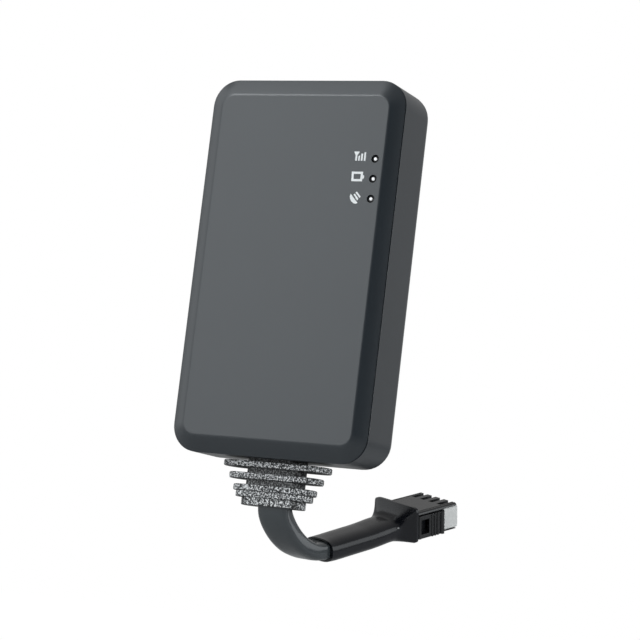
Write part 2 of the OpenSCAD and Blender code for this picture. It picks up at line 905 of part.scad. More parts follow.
module lead_cable() {
    rings = [
        for (i = [0 : len(route) - 1])
            ring(route[i], lead_travel[i], lead_width(i), lead_w, lead_t, lead_power, lead_sides)
    ];
    color(black_colour)
    polyhedron(joined(rings),
        concat(tube_bands(len(rings), lead_sides), tube_ends(len(rings), lead_sides)));
}

// Rings of the sleeve's outer or inner face, from its mouth to the hood's rim
function sleeve_rings(wall) = [
    for (i = [sleeve_first : sleeve_last])
        ring(route[i], lead_travel[i], lead_width(i), sleeve_w - 2 * wall, sleeve_t - 2 * wall,
            sleeve_power, lead_sides),
    for (i = [0 : flare_steps + 1])
        let (
            u = min(i / flare_steps, 1),
            g = pow(u, flare_power),
            y = i > flare_steps ? 0 : -hood_skirt - flare_len * (1 - u),
            rise = (hood_shift.z + hood_rise) * g,
            at = route_end + as_plug([hood_shift.x * g, y + collar_back, rise]),
            wide = sleeve_w + (hood_w - sleeve_w) * g - 2 * wall,
            thick = sleeve_t + (hood_h - sleeve_t) * g - 2 * wall,
            p = sleeve_power + (hood_power - sleeve_power) * g
        )
        ring(at, as_plug([0, 1, 0]), as_plug([1, 0, 0]), wide, thick, p, lead_sides)
];

module lead_sleeve() {
    outer = sleeve_rings(0);
    inner = sleeve_rings(sleeve_wall);
    count = len(outer);
    rings = concat(outer, [for (i = [count - 1 : -1 : 0]) inner[i]]);
    color(black_colour)
    polyhedron(joined(rings),
        concat(tube_bands(2 * count, lead_sides), band(2 * count - 1, 0, lead_sides)));
}

module in_plug() {
    translate(plug_at)
    rotate(plug_turn)
    children();
}

// The plug's outer section, level with its own middle
module plug_section(w, h, r) {
    translate([0, -plug_drop])
    round_rect(w, h, r);
}

module contact_rows(w, h) {
    for (i = [0 : ways - 1])
        translate([(i - (ways - 1) / 2) * contact_pitch, contact_z])
        square([w, h], center = true);
}

module plug_housing() {
    pocket_h = latch_lift + latch_h + latch_gap + cut;
    color(black_colour)
    in_plug()
    difference() {
        plate(-collar_back, plug_len - lip)
        plug_section(plug_w, plug_h, plug_edge);
        // Room for the insert: only the top's fingers and the bottom reach over it
        plate(insert_y, plug_len + cut)
        translate([-plug_w / 2 - cut, plug_low + bottom_t])
        square([plug_w + 2 * cut, plug_h - top_t - bottom_t]);
        for (i = [0 : ways - 1])
            plate(insert_y, plug_len + cut)
            translate([(i - (ways - 1) / 2) * contact_pitch, plug_top])
            square([slot_w, 3 * top_t], center = true);
        // Fine line beside each long edge of the top
        for (side = [-1, 1])
            plate(-collar_back - cut, plug_len + cut)
            translate([side * (plug_w / 2 - line_in), plug_top])
            square([line_w, 2 * line_d], center = true);
        plate(contact_y, insert_y + cut)
        contact_rows(cavity, cavity);
        for (side = [-1, 1])
            translate([0, 0, plug_low - cut]) {
                translate([side * (plug_w / 2 + cut / 2 - pocket_d / 2), latch_y])
                linear_extrude(pocket_h)
                translate([0, (insert_y - latch_y + layer) / 2])
                square([pocket_d + cut, insert_y - latch_y + layer], center = true);
                translate([side * latch_x, latch_y])
                cylinder(r = bead_r + bead_gap, h = pocket_h, $fn = smooth);
            }
    }
}

module plug_insert() {
    low = plug_low + bottom_t + insert_gap;
    high = plug_top - top_t - insert_gap;
    color(grey_colour)
    in_plug()
    difference() {
        plate(insert_y + insert_gap, plug_len)
        translate([0, (low + high) / 2])
        round_rect(plug_w - 2 * insert_gap, high - low, plug_edge);
        plate(insert_y - cut, plug_len + cut)
        contact_rows(cavity, cavity);
    }
}

module plug_contacts() {
    color(gold_colour)
    in_plug()
    difference() {
        plate(contact_y + contact_gap, plug_len - contact_sink)
        contact_rows(contact_w, contact_w);
        plate(plug_len - contact_sink - contact_bore_d, plug_len)
        contact_rows(contact_bore, contact_bore);
    }
}

// Sprung lever on the plug's side: a bead to hinge on, two arms and a ribbed grip
module latch(side) {
    color(black_colour)
    in_plug()
    mirror([side < 0 ? 1 : 0, 0, 0])
    translate([latch_x, 0, latch_low]) {
        translate([0, latch_y, 0])
        cylinder(r = bead_r, h = latch_h, $fn = smooth);
        for (z = [0, latch_h - arm_h])
            translate([-latch_t / 2, latch_y, z])
            cube([latch_t, grip_y - latch_y + layer, arm_h]);
        translate([-latch_t / 2, grip_y, 0])
        cube([latch_t, grip_end - grip_y, latch_h]);
        for (i = [1 : ridges])
            translate([latch_t / 2, grip_y + i * ridge_pitch, 0])
            cylinder(r = ridge_r, h = latch_h, $fn = smooth);
        translate([latch_t / 2, grip_end - bar_r, 0])
        cylinder(r = bar_r, h = latch_h, $fn = smooth);
    }
}

front_cover();
rear_cover();
case_seal();
case_screws();
main_board();
board_screws();
cellular_module();
module_shield();
cellular_antenna();
patch_antenna();
patch_electrode();
satellite_receiver();
status_leds();
light_pipe(0);  // light_pipe_1
light_pipe(1);  // light_pipe_2
light_pipe(2);  // light_pipe_3
sim_holder();
sim_card();
power_inductor();
power_chip();
supply_capacitors();
motion_sensor();
battery_cell();
battery_pad();
battery_socket();
battery_plug();
battery_wires();
board_socket();
inner_plug();
inner_wires();
strain_relief();
lead_cable();
lead_sleeve();
plug_housing();
plug_insert();
plug_contacts();
latch(1);  // plug_latch_right
latch(-1);  // plug_latch_left
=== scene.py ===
import bmesh
import bpy
import math
from mathutils import Euler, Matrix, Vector


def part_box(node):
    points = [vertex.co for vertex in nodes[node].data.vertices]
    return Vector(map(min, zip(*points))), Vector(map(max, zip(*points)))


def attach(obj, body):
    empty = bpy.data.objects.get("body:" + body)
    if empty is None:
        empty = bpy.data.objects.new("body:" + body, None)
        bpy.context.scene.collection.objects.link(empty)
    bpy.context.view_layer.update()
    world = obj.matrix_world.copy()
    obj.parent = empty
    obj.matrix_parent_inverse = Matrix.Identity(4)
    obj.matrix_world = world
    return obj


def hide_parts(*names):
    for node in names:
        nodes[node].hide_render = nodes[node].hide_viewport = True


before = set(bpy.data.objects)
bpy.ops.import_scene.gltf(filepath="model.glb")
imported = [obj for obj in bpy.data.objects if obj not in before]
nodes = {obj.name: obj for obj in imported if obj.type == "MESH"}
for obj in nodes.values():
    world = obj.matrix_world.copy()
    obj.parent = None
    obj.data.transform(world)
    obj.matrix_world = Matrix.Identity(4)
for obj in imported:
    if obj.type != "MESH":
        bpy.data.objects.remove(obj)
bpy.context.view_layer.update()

scene = bpy.context.scene
mm = 0.001
print("frame loaded:", len(nodes), "nodes")

# Camera, where the edges of the case put it
cameraSettings = {
    "place": (215.97, -432.199, -70.401),   # mm
    "turn": (97.3424, -6.6692, 25.5416),    # degrees
    "lens": 128.246,
    "sensor": 36,                           # mm
    "clip": (0.01, 20),                     # metres
}


def makeCamera(settings):
    data = bpy.data.cameras.new("photoCamera")
    data.lens = settings["lens"]
    data.sensor_width = settings["sensor"]
    data.clip_start, data.clip_end = settings["clip"]
    camera = bpy.data.objects.new("photoCamera", data)
    camera.location = Vector(settings["place"]) * mm
    camera.rotation_euler = Euler([math.radians(a) for a in settings["turn"]])
    scene.collection.objects.link(camera)
    scene.camera = camera
    print("camera placed")


makeCamera(cameraSettings)


# Node helpers for the materials
def newMaterial(name, values):
    material = bpy.data.materials.new(name)
    material.use_nodes = True
    tree = material.node_tree
    shader = tree.nodes["Principled BSDF"]
    for socket, value in values.items():
        shader.inputs[socket].default_value = value
    place = tree.nodes.new("ShaderNodeTexCoord")
    return material, tree, shader, place.outputs["Object"]


def noiseNode(tree, coords, scale, detail=2.0, rough=0.5):
    node = tree.nodes.new("ShaderNodeTexNoise")
    node.inputs["Scale"].default_value = scale
    node.inputs["Detail"].default_value = detail
    node.inputs["Roughness"].default_value = rough
    tree.links.new(coords, node.inputs["Vector"])
    return node.outputs["Fac"]


def cellNode(tree, coords, scale, randomness=1.0):
    node = tree.nodes.new("ShaderNodeTexVoronoi")
    node.inputs["Scale"].default_value = scale
    node.inputs["Randomness"].default_value = randomness
    tree.links.new(coords, node.inputs["Vector"])
    return node.outputs["Distance"]


def colourRamp(tree, factor, stops):
    node = tree.nodes.new("ShaderNodeValToRGB")
    ramp = node.color_ramp
    while len(ramp.elements) < len(stops):
        ramp.elements.new(0.5)
    for element, (position, colour) in zip(ramp.elements, stops):
        element.position = position
        element.color = (*colour, 1)
    tree.links.new(factor, node.inputs["Fac"])
    return node.outputs["Color"]


def valueRange(tree, factor, low, high, start=0, end=1):
    node = tree.nodes.new("ShaderNodeMapRange")
    node.inputs["From Min"].default_value = start
    node.inputs["From Max"].default_value = end
    node.inputs["To Min"].default_value = low
    node.inputs["To Max"].default_value = high
    tree.links.new(factor, node.inputs["Value"])
    return node.outputs["Result"]


def mathNode(tree, operation, first, second):
    node = tree.nodes.new("ShaderNodeMath")
    node.operation = operation
    tree.links.new(first, node.inputs[0])
    tree.links.new(second, node.inputs[1])
    return node.outputs["Value"]


def bumpNode(tree, height, strength, distance, under=None):
    node = tree.nodes.new("ShaderNodeBump")
    node.inputs["Strength"].default_value = strength
    node.inputs["Distance"].default_value = distance
    tree.links.new(height, node.inputs["Height"])
    if under is not None:
        tree.links.new(under, node.inputs["Normal"])
    return node.outputs["Normal"]


def shaded(colour, share):
    return tuple(c * share for c in colour)


# A moulded plastic: a slight drift of its colour, a fine grain of a depth in mm, and a gloss
# that varies with the grain
mouldedSettings = {
    "driftScale": 60, "detail": 3, "low": 0.3, "high": 0.7,
    "grainRough": 0.6, "glossSpread": 0.05, "strength": 0.35,
}


def moulded(name, colour, rough, grain, depth, drift=0.06, values=None, settings=mouldedSettings):
    material, tree, shader, coords = newMaterial(name, values or {})
    drifting = noiseNode(tree, coords, settings["driftScale"], settings["detail"])
    colours = [(settings["low"], shaded(colour, 1 - drift)),
               (settings["high"], shaded(colour, 1 + drift))]
    tree.links.new(colourRamp(tree, drifting, colours), shader.inputs["Base Color"])
    fine = noiseNode(tree, coords, grain, settings["detail"], settings["grainRough"])
    spread = settings["glossSpread"]
    gloss = valueRange(tree, fine, rough - spread, rough + spread)
    tree.links.new(gloss, shader.inputs["Roughness"])
    relief = bumpNode(tree, fine, settings["strength"], depth * mm)
    tree.links.new(relief, shader.inputs["Normal"])
    return material


def casePlastic():
    return moulded("casePlastic", colour=(0.016, 0.021, 0.026), rough=0.33,
                   grain=4200, depth=0.006, drift=0.04)


# Rough speckled rubber, with bright grains between dark pits; the share dims it, and a dimmed copy is
# the painted shade in the hollows
rubberSettings = {
    "rough": 0.62, "pitScale": 2600, "grainScale": 2900, "detail": 3, "grainRough": 0.65,
    "colours": [
        (0.43, (0.008, 0.008, 0.009)), (0.49, (0.05, 0.051, 0.053)),
        (0.53, (0.38, 0.385, 0.39)), (0.59, (0.86, 0.86, 0.86)),
    ],
    "pitBump": (0.7, 0.1), "grainBump": (0.8, 0.12),    # strength, and depth in mm
}


def speckledRubber(name, share, settings=rubberSettings):
    material, tree, shader, coords = newMaterial(name, {"Roughness": settings["rough"]})
    pits = cellNode(tree, coords, settings["pitScale"])
    grains = noiseNode(tree, coords, settings["grainScale"], settings["detail"], settings["grainRough"])
    colours = [(place, shaded(colour, share)) for place, colour in settings["colours"]]
    tree.links.new(colourRamp(tree, grains, colours), shader.inputs["Base Color"])
    pitStrength, pitDepth = settings["pitBump"]
    grainStrength, grainDepth = settings["grainBump"]
    under = bumpNode(tree, pits, pitStrength, pitDepth * mm)
    relief = bumpNode(tree, grains, grainStrength, grainDepth * mm, under)
    tree.links.new(relief, shader.inputs["Normal"])
    return material


def reliefRubber():
    return speckledRubber("reliefRubber", 1)


# Painted shade: a darker copy of the rubber for the hollows and the faces that look up or down
def reliefPaintedShade():
    return speckledRubber("reliefPaintedShade", 0.25)


def leadJacket():
    return moulded("leadJacket", colour=(0.05, 0.057, 0.062), rough=0.16,
                   grain=1500, depth=0.002,
                   values={"Specular IOR Level": 0.42})


def sleeveSkin():
    return moulded("sleeveSkin", colour=(0.005, 0.006, 0.009), rough=0.22,
                   grain=900, depth=0.004,
                   values={"Specular IOR Level": 0.32})


def plugBlack():
    return moulded("plugBlack", colour=(0.006, 0.0065, 0.008), rough=0.28,
                   grain=5200, depth=0.006)


def plugGrey():
    return moulded("plugGrey", colour=(0.68, 0.68, 0.665), rough=0.5,
                   grain=3800, depth=0.015, drift=0.04)


# Painted shade for the seam's lip, where the narrow gap would be in shadow
def seamPaintedShade():
    return moulded("seamPaintedShade", colour=(0.004, 0.004, 0.005), rough=0.9,
                   grain=2600, depth=0.01,
                   values={"Specular IOR Level": 0.15})


def sealRubber():
    return moulded("sealRubber", colour=(0.02, 0.02, 0.021), rough=0.7,
                   grain=2600, depth=0.03)


def innerPlugBlack():
    return moulded("innerPlugBlack", colour=(0.016, 0.016, 0.017), rough=0.4,
                   grain=4400, depth=0.015)


def connectorWhite():
    return moulded("connectorWhite", colour=(0.7, 0.68, 0.62), rough=0.42,
                   grain=3600, depth=0.012, drift=0.04)


def cardPlastic():
    return moulded("cardPlastic", colour=(0.68, 0.69, 0.7), rough=0.45,
                   grain=5200, depth=0.006, drift=0.03)


def chipBlack():
    return moulded("chipBlack", colour=(0.022, 0.022, 0.023), rough=0.62,
                   grain=7000, depth=0.02)


def capacitorYellow():
    return moulded("capacitorYellow", colour=(0.62, 0.4, 0.08), rough=0.5,
                   grain=4200, depth=0.012)


def wireJacket():
    return moulded("wireJacket", colour=(0.36, 0.02, 0.016), rough=0.34,
                   grain=2400, depth=0.006)


def whiteInk():
    return moulded("whiteInk", colour=(0.88, 0.89, 0.89), rough=0.6,
                   grain=9000, depth=0.002, drift=0.03)


# Black of the window rings: partly their own black surface, partly painted shade of the hole behind
def windowBlackPaintedShade():
    return moulded("windowBlackPaintedShade", colour=(0.004, 0.004, 0.005), rough=0.6,
                   grain=5200, depth=0.004,
                   values={"Specular IOR Level": 0.2})


def patchCeramic():
    return moulded("patchCeramic", colour=(0.5, 0.43, 0.33), rough=0.55,
                   grain=5200, depth=0.02, drift=0.1)


# Open-celled foam, darker in its cells
foamSettings = {
    "rough": 0.9, "scale": 2200, "bump": (0.8, 0.12),   # strength, and depth in mm
    "colours": [(0.1, (0.12, 0.12, 0.12)), (0.6, (0.26, 0.26, 0.26))],
}


def padFoam(settings=foamSettings):
    material, tree, shader, coords = newMaterial("padFoam", {"Roughness": settings["rough"]})
    cells = cellNode(tree, coords, settings["scale"])
    tree.links.new(colourRamp(tree, cells, settings["colours"]), shader.inputs["Base Color"])
    strength, depth = settings["bump"]
    tree.links.new(bumpNode(tree, cells, strength, depth * mm), shader.inputs["Normal"])
    return material


# A metal drawn or rolled along the direction that its lines are stretched in
drawnSettings = {
    "detail": 4, "lineRough": 0.6, "dim": 0.86, "low": 0.3, "high": 0.7,
    "glossier": 0.08, "rougher": 0.1, "bump": (0.25, 0.006),    # strength, and depth in mm
}


def drawnMetal(name, colour, rough, stretch, grain=2400, settings=drawnSettings):
    material, tree, shader, coords = newMaterial(name, {"Metallic": 1.0})
    mapping = tree.nodes.new("ShaderNodeMapping")
    mapping.inputs["Scale"].default_value = stretch
    tree.links.new(coords, mapping.inputs["Vector"])
    lines = noiseNode(tree, mapping.outputs["Vector"], grain, settings["detail"],
                      settings["lineRough"])
    colours = [(settings["low"], shaded(colour, settings["dim"])), (settings["high"], colour)]
    tree.links.new(colourRamp(tree, lines, colours), shader.inputs["Base Color"])
    gloss = valueRange(tree, lines, rough - settings["glossier"], rough + settings["rougher"])
    tree.links.new(gloss, shader.inputs["Roughness"])
    strength, depth = settings["bump"]
    tree.links.new(bumpNode(tree, lines, strength, depth * mm), shader.inputs["Normal"])
    return material


def screwSteel():
    return drawnMetal("screwSteel", colour=(0.5, 0.5, 0.51), rough=0.34, stretch=(1, 1, 1))


def shieldMetal():
    return drawnMetal("shieldMetal", colour=(0.66, 0.66, 0.67), rough=0.32, stretch=(1, 1, 0.06))


def contactGold():
    return drawnMetal("contactGold", colour=(0.78, 0.56, 0.25), rough=0.28, stretch=(1, 0.1, 1))


def antennaCopper():
    return drawnMetal("antennaCopper", colour=(0.7, 0.5, 0.27), rough=0.36, stretch=(0.08, 1, 1))


def cellFoil():
    return drawnMetal("cellFoil", colour=(0.6, 0.61, 0.63), rough=0.4, stretch=(1, 1, 0.3), grain=700)


# Lacquered board: copper tracks show through as a slightly raised, paler pattern
boardSettings = {
    "shader": {"Coat Weight": 0.4, "Roughness": 0.4},
    "turn": (90, 0, 0),                     # degrees, from the pattern's plane to the board's
    "tracks": {
        "Scale": 260, "Mortar Size": 0.03, "Color1": (0.008, 0.07, 0.026, 1),
        "Color2": (0.011, 0.085, 0.032, 1), "Mortar": (0.03, 0.16, 0.06, 1),
    },
    "bump": (0.4, 0.02),                    # strength, and depth in mm
}


def boardGreen(settings=boardSettings):
    material, tree, shader, coords = newMaterial("boardGreen", settings["shader"])
    tracks = tree.nodes.new("ShaderNodeTexBrick")
    for socket, value in settings["tracks"].items():
        tracks.inputs[socket].default_value = value
    swap = tree.nodes.new("ShaderNodeMapping")
    swap.inputs["Rotation"].default_value = [math.radians(a) for a in settings["turn"]]
    tree.links.new(coords, swap.inputs["Vector"])
    tree.links.new(swap.outputs["Vector"], tracks.inputs["Vector"])
    tree.links.new(tracks.outputs["Color"], shader.inputs["Base Color"])
    strength, depth = settings["bump"]
    relief = bumpNode(tree, tracks.outputs["Fac"], strength, depth * mm)
    tree.links.new(relief, shader.inputs["Normal"])
    return material


# Clear plastic whose gloss flows a little, as moulding leaves it
clearSettings = {
    "shader": {"Transmission Weight": 0.6, "IOR": 1.49, "Base Color": (0.86, 0.88, 0.9, 1)},
    "scale": 900, "detail": 2, "gloss": (0.12, 0.2),
}


def clearPlastic(settings=clearSettings):
    material, tree, shader, coords = newMaterial("clearPlastic", settings["shader"])
    flow = noiseNode(tree, coords, settings["scale"], settings["detail"])
    tree.links.new(valueRange(tree, flow, *settings["gloss"]), shader.inputs["Roughness"])
    return material


# A white lens with a faint painted glow, so that it reads white
def lensWhitePaintedGlow():
    return moulded("lensWhitePaintedGlow", colour=(0.84, 0.86, 0.88), rough=0.25,
                   grain=5200, depth=0.002, drift=0.02,
                   values={"Emission Color": (1, 1, 1, 1), "Emission Strength": 0.35})


finishes = {
    "casePlastic": casePlastic(), "reliefRubber": reliefRubber(),
    "reliefPaintedShade": reliefPaintedShade(), "leadJacket": leadJacket(),
    "sleeveSkin": sleeveSkin(), "plugBlack": plugBlack(), "plugGrey": plugGrey(),
    "seamPaintedShade": seamPaintedShade(), "sealRubber": sealRubber(), "innerPlugBlack": innerPlugBlack(),
    "connectorWhite": connectorWhite(), "cardPlastic": cardPlastic(), "chipBlack": chipBlack(),
    "capacitorYellow": capacitorYellow(), "wireJacket": wireJacket(), "whiteInk": whiteInk(),
    "windowBlackPaintedShade": windowBlackPaintedShade(), "patchCeramic": patchCeramic(), "padFoam": padFoam(),
    "screwSteel": screwSteel(), "shieldMetal": shieldMetal(), "contactGold": contactGold(),
    "antennaCopper": antennaCopper(), "cellFoil": cellFoil(), "boardGreen": boardGreen(),
    "clearPlastic": clearPlastic(), "lensWhitePaintedGlow": lensWhitePaintedGlow(),
}
print("materials made:", len(finishes))


# Turns a bmesh into a finished piece that rides on a body
def finishPiece(bm, name, finishNames, body="root", smoothAngle=30):
    for face in bm.faces:
        face.smooth = True
    for edge in bm.edges:
        if len(edge.link_faces) == 2:
            edge.smooth = edge.calc_face_angle() < math.radians(smoothAngle)
    mesh = bpy.data.meshes.new(name)
    bm.to_mesh(mesh)
    bm.free()
    piece = bpy.data.objects.new(name, mesh)
    scene.collection.objects.link(piece)
    for finish in finishNames:
        mesh.materials.append(finishes[finish])
    weigh = piece.modifiers.new("weigh", "WEIGHTED_NORMAL")
    weigh.keep_sharp = True
    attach(piece, body)
    return piece


# Smooth line through given points
def curveThrough(points, share):
    spot = share * (len(points) - 1)
    i = min(int(spot), len(points) - 2)
    u = spot - i
    before, start = points[max(i - 1, 0)], points[i]
    end, after = points[i + 1], points[min(i + 2, len(points) - 1)]
    slope = end - before
    bend = 2 * before - 5 * start + 4 * end - after
    twist = 3 * start - before - 3 * end + after
    return 0.5 * (2 * start + slope * u + bend * u ** 2 + twist * u ** 3)


# Share that starts and ends gently
def eased(u):
    return u * u * (3 - 2 * u)


# Moves one flattened round ring to its place on a swept tube
def shapeRing(verts, centre, wide, thick, across, along, power):
    over = across.cross(along).normalized()
    for k, vert in enumerate(verts):
        angle = 2 * math.pi * k / len(verts)
        c, s = math.cos(angle), math.sin(angle)
        right = math.copysign(abs(c) ** (2 / power), c) * wide / 2
        up = math.copysign(abs(s) ** (2 / power), s) * thick / 2
        vert.co = centre + across * right + over * up


# Moves one level ring to its height and rounds its corners, with as many points in each
def cornerRing(verts, height, back, width, depth, corner):
    steps = len(verts) // 4
    for k, vert in enumerate(verts):
        angle = math.radians(90) * (k // steps + (k % steps) / (steps - 1))
        sideX = 1 if k // steps in (0, 3) else -1
        sideY = 1 if k // steps in (0, 1) else -1
        x = sideX * (width / 2 - corner) + corner * math.cos(angle)
        y = sideY * (depth / 2 - corner) + corner * math.sin(angle) - back
        vert.co = Vector((x, y, height)) * mm


# A tube through rings: a circle first, then one extrusion for each further ring
def sweepRings(rings, sides, placeRing=shapeRing):
    bm = bmesh.new()
    verts = bmesh.ops.create_circle(bm, segments=sides, radius=1)["verts"]
    edges = list(bm.edges)
    placeRing(verts, *rings[0])
    for ring in rings[1:]:
        made = bmesh.ops.extrude_edge_only(bm, edges=edges)["geom"]
        fresh = [g for g in made if isinstance(g, bmesh.types.BMVert)]
        edges = [e for v in fresh for e in v.link_edges if all(x in fresh for x in e.verts)]
        edges = list(dict.fromkeys(edges))
        partner = {next(e.other_vert(v) for e in v.link_edges if e.other_vert(v) not in fresh): v
                   for v in fresh}
        verts = [partner[v] for v in verts]
        placeRing(verts, *ring)
    return bm


# Lead: its route, repeated from the part's source, and its section
leadSettings = {
    "route": [                             # mm
        (0.5, -8.7, -49.8), (0.6, -8.3, -51.1), (1, -7.4, -52.7), (1.6, -6.1, -54.3),
        (2.3, -4.5, -55.7), (3.1, -2.6, -56.8), (3.9, -0.5, -57.4), (4.6, 1.2, -57.5),
        (5.7, 3.7, -57), (6.6, 5.8, -56.3), (7.5, 7.9, -55.5), (8.4, 10, -54.7),
        (9.3, 12.1, -53.9), (10.2, 14.2, -53.1), (11.1, 16.3, -52.2), (11.9, 18.4, -51.3),
        (12.8, 20.5, -50.5), (13.8, 22.8, -49.7),
    ],
    "width": 7.2, "thickness": 3.9, "power": 3.6, "sides": 40, "steps": 90,
    "exitTravel": (0, 0, -1), "endShare": 0.06, "stepShare": 0.004, "smooth": 50,
    "plugTurn": (18, 9.4, -20),            # degrees
}
plugTurn = Euler([math.radians(a) for a in leadSettings["plugTurn"]]).to_matrix()
leadPoints = [Vector(p) * mm for p in leadSettings["route"]]


# Centre, direction of travel and width direction at a share of the lead. Both ends are pulled
# straight, into the relief's exit and into the plug
def leadFrame(share, settings=leadSettings):
    step, endShare = settings["stepShare"], settings["endShare"]
    centre = curveThrough(leadPoints, share)
    ahead = curveThrough(leadPoints, min(share + step, 1))
    behind = curveThrough(leadPoints, max(share - step, 0))
    travel = (ahead - behind).normalized()
    exitPull = 1 - share / endShare
    plugPull = 1 - (1 - share) / endShare
    ends = [(Vector(settings["exitTravel"]), exitPull), (plugTurn.col[1].copy(), plugPull)]
    for fixed, pull in ends:
        if pull > 0:
            travel = travel.lerp(fixed, eased(min(pull, 1))).normalized()
    turned = eased(share)
    across = Vector((1, 0, 0)) * (1 - turned) + plugTurn.col[0] * turned
    across = (across - travel * across.dot(travel)).normalized()
    return centre, travel, across


def makeLead(settings):
    wide, thick = settings["width"] * mm, settings["thickness"] * mm
    rings, path = [], []
    for i in range(settings["steps"] + 1):
        centre, travel, across = leadFrame(i / settings["steps"])
        rings.append((centre, wide, thick, across, travel, settings["power"]))
        path.append(centre)
    bm = sweepRings(rings, settings["sides"])
    bmesh.ops.holes_fill(bm, edges=bm.edges, sides=0)
    bmesh.ops.recalc_face_normals(bm, faces=bm.faces)
    lead = finishPiece(bm, "flatLead", ["leadJacket"],
                       smoothAngle=settings["smooth"])
    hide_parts("lead_cable")
    length = sum((b - a).length for a, b in zip(path, path[1:]))
    print("lead made, length in mm:", round(length / mm, 2))
    return lead, path


lead, leadPath = makeLead(leadSettings)

# Sleeve shrunk over the lead, with its hood over the back of the plug, in mm
sleeveSettings = {
    "firstShare": 8 / 17, "lastShare": 15 / 17,     # of the 17 spans in the lead's route
    "width": 9, "thickness": 4.9, "power": 2.8, "wall": 0.35, "sideWall": 0.75,
    "hoodWidth": 13.2, "hoodHeight": 8, "hoodPower": 10, "hoodShift": (0.6, 0.5, 1.5),
    "skirt": 0.6, "flare": 3.8, "flarePower": 2.4,
    "sides": 64, "steps": 40, "flareSteps": 16, "smooth": 55,
}


def blendTo(start, end, share):
    return start + (end - start) * share


# Rings along the lead at one size, as far inside the outer skin as the walls say
def sleeveTubeRings(settings, wall, sideWall):
    wide = (settings["width"] - 2 * sideWall) * mm
    thick = (settings["thickness"] - 2 * wall) * mm
    rings = []
    for i in range(settings["steps"] + 1):
        share = blendTo(settings["firstShare"], settings["lastShare"], i / settings["steps"])
        centre, travel, across = leadFrame(share)
        rings.append((centre, wide, thick, across, travel, settings["power"]))
    return rings


# Rings that grow from the tube to the hood's square mouth, which ends in a straight skirt
def hoodRings(settings, wall, sideWall):
    across, along = plugTurn.col[0].copy(), plugTurn.col[1].copy()
    shiftX, back, shiftZ = settings["hoodShift"]
    rings = []
    for i in range(settings["flareSteps"] + 2):
        u = min(i / settings["flareSteps"], 1)
        grown = u ** settings["flarePower"]
        inSkirt = i > settings["flareSteps"]
        y = 0 if inSkirt else -settings["skirt"] - settings["flare"] * (1 - u)
        offset = Vector((shiftX * grown, y + back, shiftZ * grown)) * mm
        wide = blendTo(settings["width"], settings["hoodWidth"], grown)
        wide -= 2 * blendTo(sideWall, wall, grown)
        thick = blendTo(settings["thickness"], settings["hoodHeight"], grown) - 2 * wall
        power = blendTo(settings["power"], settings["hoodPower"], grown)
        centre = leadPoints[-1] + plugTurn @ offset
        rings.append((centre, wide * mm, thick * mm, across, along, power))
    return rings


def makeSleeve(settings):
    walls = settings["wall"], settings["sideWall"]
    outer = sleeveTubeRings(settings, 0, 0) + hoodRings(settings, 0, 0)
    inner = sleeveTubeRings(settings, *walls) + hoodRings(settings, *walls)
    bm = sweepRings(outer + inner[::-1], settings["sides"])
    ends = [e for e in bm.edges if len(e.link_faces) == 1]
    bmesh.ops.bridge_loops(bm, edges=ends)
    bmesh.ops.recalc_face_normals(bm, faces=bm.faces)
    sleeve = finishPiece(bm, "shrunkSleeve", ["sleeveSkin"],
                         smoothAngle=settings["smooth"])
    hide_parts("lead_sleeve")
    print("sleeve made")
    return sleeve


sleeve = makeSleeve(sleeveSettings)


# A merged copy of a CAD node, with flat faces joined, for edges to be eased on
mergeSettings = {"within": 0.002, "flatAngle": 0.6}    # mm and degrees


def mergedCopy(nodeName, settings=mergeSettings):
    bm = bmesh.new()
    bm.from_mesh(nodes[nodeName].data)
    bmesh.ops.remove_doubles(bm, verts=bm.verts, dist=settings["within"] * mm)
    bmesh.ops.dissolve_limit(bm, angle_limit=math.radians(settings["flatAngle"]),
                             verts=bm.verts, edges=bm.edges)
    return bm


def easeEdges(bm, edges, width, segments):
    bmesh.ops.bevel(bm, geom=edges, offset=width * mm, offset_type="OFFSET", segments=segments,
                    profile=0.5, affect="EDGES", clamp_overlap=True, material=-1)


# Covers, in mm: the flat face's rim and both rims at the seam are eased, the front one more, and
# the rear cover's groove is deepened and its lip given painted shade, so that the seam reads as a dark
# line
coverSettings = {
    "halfWidth": 22.5, "halfHeight": 40, "corner": 5.7,
    "frontRimY": -14.5, "rearRimY": -14.1, "grooveY": (-14.51, -14.05), "lipY": -14.09,
    "faceEase": 0.3, "seamEase": 0.1, "gapEase": 0.26, "segments": 3,
    "grooveIn": 0.4, "grooveDeeper": 0.6, "lip": 1.5, "windowRoom": 1.4,
    "level": 0.01, "outline": 0.02,         # how near a point lies to a height or an outline
    "rimAngle": 12,                         # degrees
}


# How far a point lies outside the case's rounded outline, and the way out from there
def outlineOffset(point, settings):
    flat = Vector((max(abs(point.x) - (settings["halfWidth"] - settings["corner"]) * mm, 0),
                   0, max(abs(point.z) - (settings["halfHeight"] - settings["corner"]) * mm, 0)))
    outward = Vector((math.copysign(flat.x, point.x), 0, math.copysign(flat.z, point.z)))
    return flat.length - settings["corner"] * mm, outward.normalized()


# Edges of the outline at one height
def outerRim(bm, rimY, settings):
    level = [v for v in bm.verts if abs(v.co.y - rimY * mm) < settings["level"] * mm
             and abs(outlineOffset(v.co, settings)[0]) < settings["outline"] * mm]
    return [e for e in bm.edges if e.verts[0] in level and e.verts[1] in level]


# Edges round the flat front face, without those of the window holes
def faceRim(bm, settings):
    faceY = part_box("front_cover")[0].y
    windows = [sum(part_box(f"light_pipe_{i}"), Vector()) / 2 for i in (1, 2, 3)]
    rim = []
    for edge in bm.edges:
        if len(edge.link_faces) != 2 or edge.calc_face_angle() < math.radians(settings["rimAngle"]):
            continue
        middle = (edge.verts[0].co + edge.verts[1].co) / 2
        onFace = all(abs(v.co.y - faceY) < settings["level"] * mm for v in edge.verts)
        nearWindow = any(math.hypot(middle.x - w.x, middle.z - w.z) < settings["windowRoom"] * mm
                         for w in windows)
        if onFace and not nearWindow:
            rim.append(edge)
    return rim


